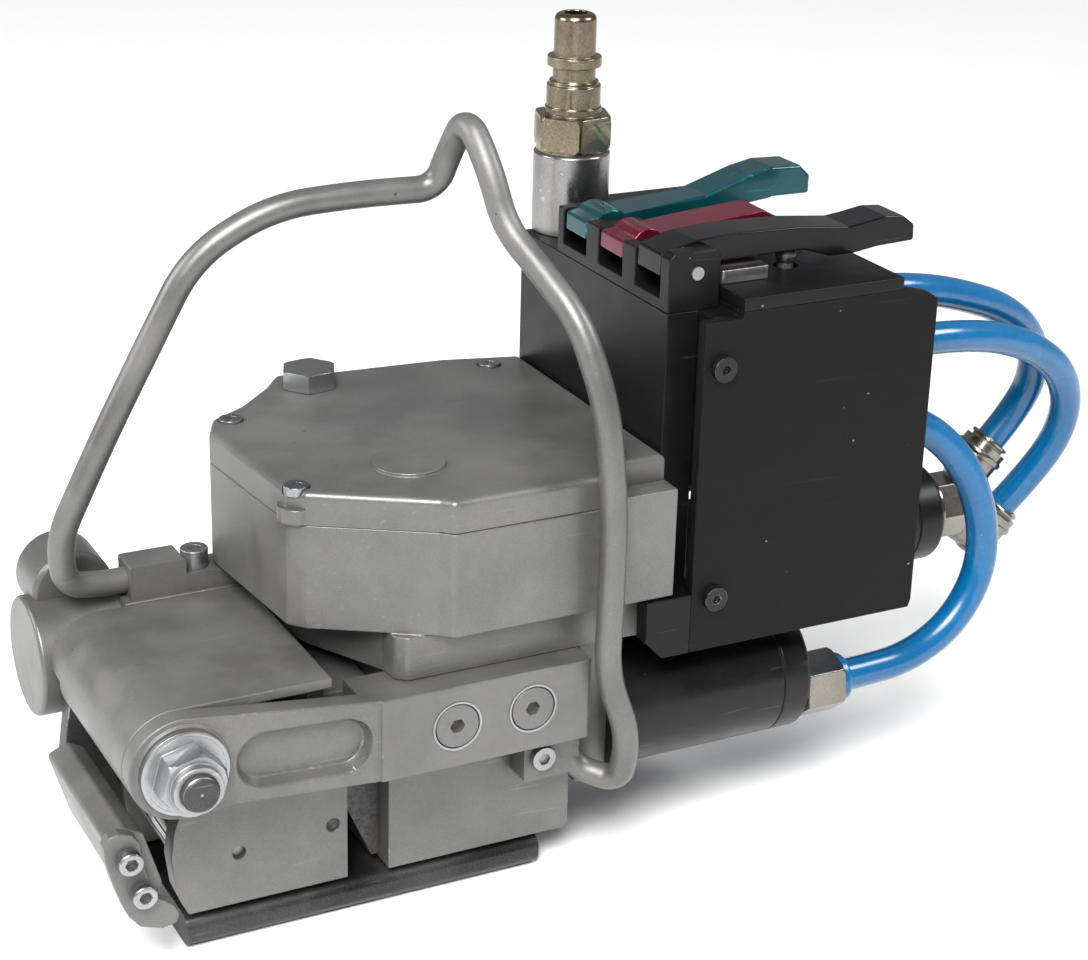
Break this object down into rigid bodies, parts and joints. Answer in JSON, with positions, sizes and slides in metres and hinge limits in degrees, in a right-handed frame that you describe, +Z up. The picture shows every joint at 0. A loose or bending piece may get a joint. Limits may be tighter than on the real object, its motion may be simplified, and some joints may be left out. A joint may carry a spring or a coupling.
{
  "type": "pneumatic strapping tool",
  "caption": "Hand-held air-powered strapping tool: nose with tension wheel, gear housing, valve block with three press levers, wire bail handle and air hoses.",
  "frame": {"origin": "middle of the overall box without the hoses, at the underside of the sole plate", "axes": "+X from the nose to the air hoses, +Y away from the open side where the strap goes in, +Z up"},
  "size_m": [0.2733, 0.1028, 0.1865],
  "materials": {
    "silver_paint": "satin metallic paint over a casting",
    "black_coat": "fine-textured black powder coat",
    "black_hard_coat": "black hard-anodised aluminium",
    "black_paint": "satin black paint over aluminium",
    "zinc": "bright zinc plate",
    "black_screw": "blackened steel",
    "machined_steel": "turned and ground steel",
    "bronze": "plain bearing bronze",
    "yellow_zinc": "yellow passivated zinc",
    "dark_steel": "blackened and burnished steel",
    "nickel": "nickel plate",
    "blue_hose": "glossy polyurethane hose",
    "teal_anodised": "anodised",
    "red_anodised": "anodised",
    "black_anodised": "anodised"
  },
  "bodies": {
    "frame": {"front_plate": "black_hard_coat", "valve_body": "black_hard_coat", "top_plate": "black_hard_coat", "near_guard": "black_coat", "far_guard": "black_coat", "guard_screws": "black_screw", "lever_bracket": "black_hard_coat", "lever_pin": "zinc", "spring_run": "machined_steel", "spring_seal": "machined_steel", "spring_tension": "machined_steel", "stop_block": "machined_steel", "inlet_bushing": "machined_steel", "air_plug": "yellow_zinc", "gear_housing": "silver_paint", "gear_lid": "silver_paint", "oil_plug": "zinc", "seal_bushes": "bronze", "seal_motor_housing": "black_paint", "seal_fitting": "nickel", "hose_collar": "blue_hose", "seal_case": "silver_paint", "cutter_blade": "machined_steel", "worm_casting": "silver_paint", "motor_plate": "silver_paint", "tension_motor_housing": "black_paint", "near_arm": "silver_paint", "arm_screws": "silver_paint", "nose_cover": "silver_paint", "nose_bolt": "machined_steel", "nose_nut": "zinc", "tension_block": "silver_paint", "bail_handle": "silver_paint", "bail_clamps": "silver_paint", "case_screws": "zinc", "hose_upper": "blue_hose", "hose_lower": "blue_hose", "hose_seal": "blue_hose", "hose_ports": "nickel", "swivel_body": "nickel", "elbow_fittings": "nickel"},
    "lever_run": {"lever_run": "black_anodised"},
    "lever_seal": {"lever_seal": "red_anodised"},
    "lever_tension": {"lever_tension": "teal_anodised"},
    "plunger_run": {"plunger_run": "machined_steel"},
    "plunger_seal": {"plunger_seal": "machined_steel"},
    "plunger_tension": {"plunger_tension": "machined_steel"},
    "tension_rotor": {"tension_rotor": "machined_steel"},
    "worm_shaft": {"worm_shaft": "machined_steel"},
    "tension_wheel": {"tension_wheel": "machined_steel"},
    "seal_rotor": {"seal_rotor": "machined_steel"},
    "idler_shaft": {"idler_shaft": "machined_steel"},
    "output_shaft": {"output_shaft": "machined_steel"},
    "weld_jaw": {"weld_jaw": "machined_steel"},
    "foot": {"sole_plate": "dark_steel", "gripper_plate": "machined_steel", "foot_wall": "dark_steel", "guide_bar": "silver_paint", "guide_plate": "silver_paint", "guide_screws": "zinc"}
  },
  "joints": [
    {"name": "press_run", "type": "hinge", "parent": "frame", "child": "lever_run", "pos_m": [0.00839, -0.01977, 0.1426], "axis": [0, 1, 0], "range_deg": [0, 2.5], "stiffness_Nm_per_rad": 0.6, "springref_deg": -3.44},
    {"name": "stem_run", "type": "slide", "parent": "frame", "child": "plunger_run", "axis": [0, 0, -1], "range_m": [0, 0.0013], "deforming": ["spring_run"]},
    {"name": "press_seal", "type": "hinge", "parent": "frame", "child": "lever_seal", "pos_m": [0.00839, -0.00257, 0.1426], "axis": [0, 1, 0], "range_deg": [0, 2.5], "stiffness_Nm_per_rad": 0.6, "springref_deg": -3.44},
    {"name": "stem_seal", "type": "slide", "parent": "frame", "child": "plunger_seal", "axis": [0, 0, -1], "range_m": [0, 0.0013], "deforming": ["spring_seal"]},
    {"name": "press_tension", "type": "hinge", "parent": "frame", "child": "lever_tension", "pos_m": [0.00839, 0.01463, 0.1426], "axis": [0, 1, 0], "range_deg": [0, 2.5], "stiffness_Nm_per_rad": 0.6, "springref_deg": -3.44},
    {"name": "stem_tension", "type": "slide", "parent": "frame", "child": "plunger_tension", "axis": [0, 0, -1], "range_m": [0, 0.0013], "deforming": ["spring_tension"]},
    {"name": "tension_motor_spin", "type": "hinge", "parent": "frame", "child": "tension_rotor", "pos_m": [0.02139, 0.00863, 0.0564], "axis": [1, 0, 0], "continuous": true},
    {"name": "worm_spin", "type": "hinge", "parent": "frame", "child": "worm_shaft", "pos_m": [-0.05861, 0.02972, 0.0506], "axis": [1, 0, 0], "continuous": true},
    {"name": "tension_wheel_spin", "type": "hinge", "parent": "frame", "child": "tension_wheel", "pos_m": [-0.09711, -0.00937, 0.0255], "axis": [0, 1, 0], "continuous": true},
    {"name": "seal_motor_spin", "type": "hinge", "parent": "frame", "child": "seal_rotor", "pos_m": [0.02139, -0.01737, 0.036], "axis": [1, 0, 0], "continuous": true},
    {"name": "idler_spin", "type": "hinge", "parent": "frame", "child": "idler_shaft", "pos_m": [-0.03524, -0.00337, 0.074], "axis": [0, 0, 1], "continuous": true},
    {"name": "output_spin", "type": "hinge", "parent": "frame", "child": "output_shaft", "pos_m": [-0.05331, -0.01407, 0.074], "axis": [0, 0, 1], "continuous": true},
    {"name": "weld_stroke", "type": "slide", "parent": "frame", "child": "weld_jaw", "axis": [0, 1, 0], "range_m": [-0.001, 0.001]},
    {"name": "foot_open", "type": "hinge", "parent": "frame", "child": "foot", "pos_m": [-0.11541, 0.01263, 0.0532], "axis": [0, 1, 0], "range_deg": [0, 5], "stiffness_Nm_per_rad": 6, "springref_deg": -14.32}
  ],
  "couplings": [
    {"joint": "stem_run", "follows": "press_run", "m_per_rad": 0.029},
    {"joint": "stem_seal", "follows": "press_seal", "m_per_rad": 0.029},
    {"joint": "stem_tension", "follows": "press_tension", "m_per_rad": 0.029},
    {"joint": "worm_spin", "follows": "tension_motor_spin", "ratio": -0.52174},
    {"joint": "tension_wheel_spin", "follows": "tension_motor_spin", "ratio": 0.014493},
    {"joint": "idler_spin", "follows": "seal_motor_spin", "ratio": -0.055556},
    {"joint": "output_spin", "follows": "seal_motor_spin", "ratio": 0.027778}
  ]
}
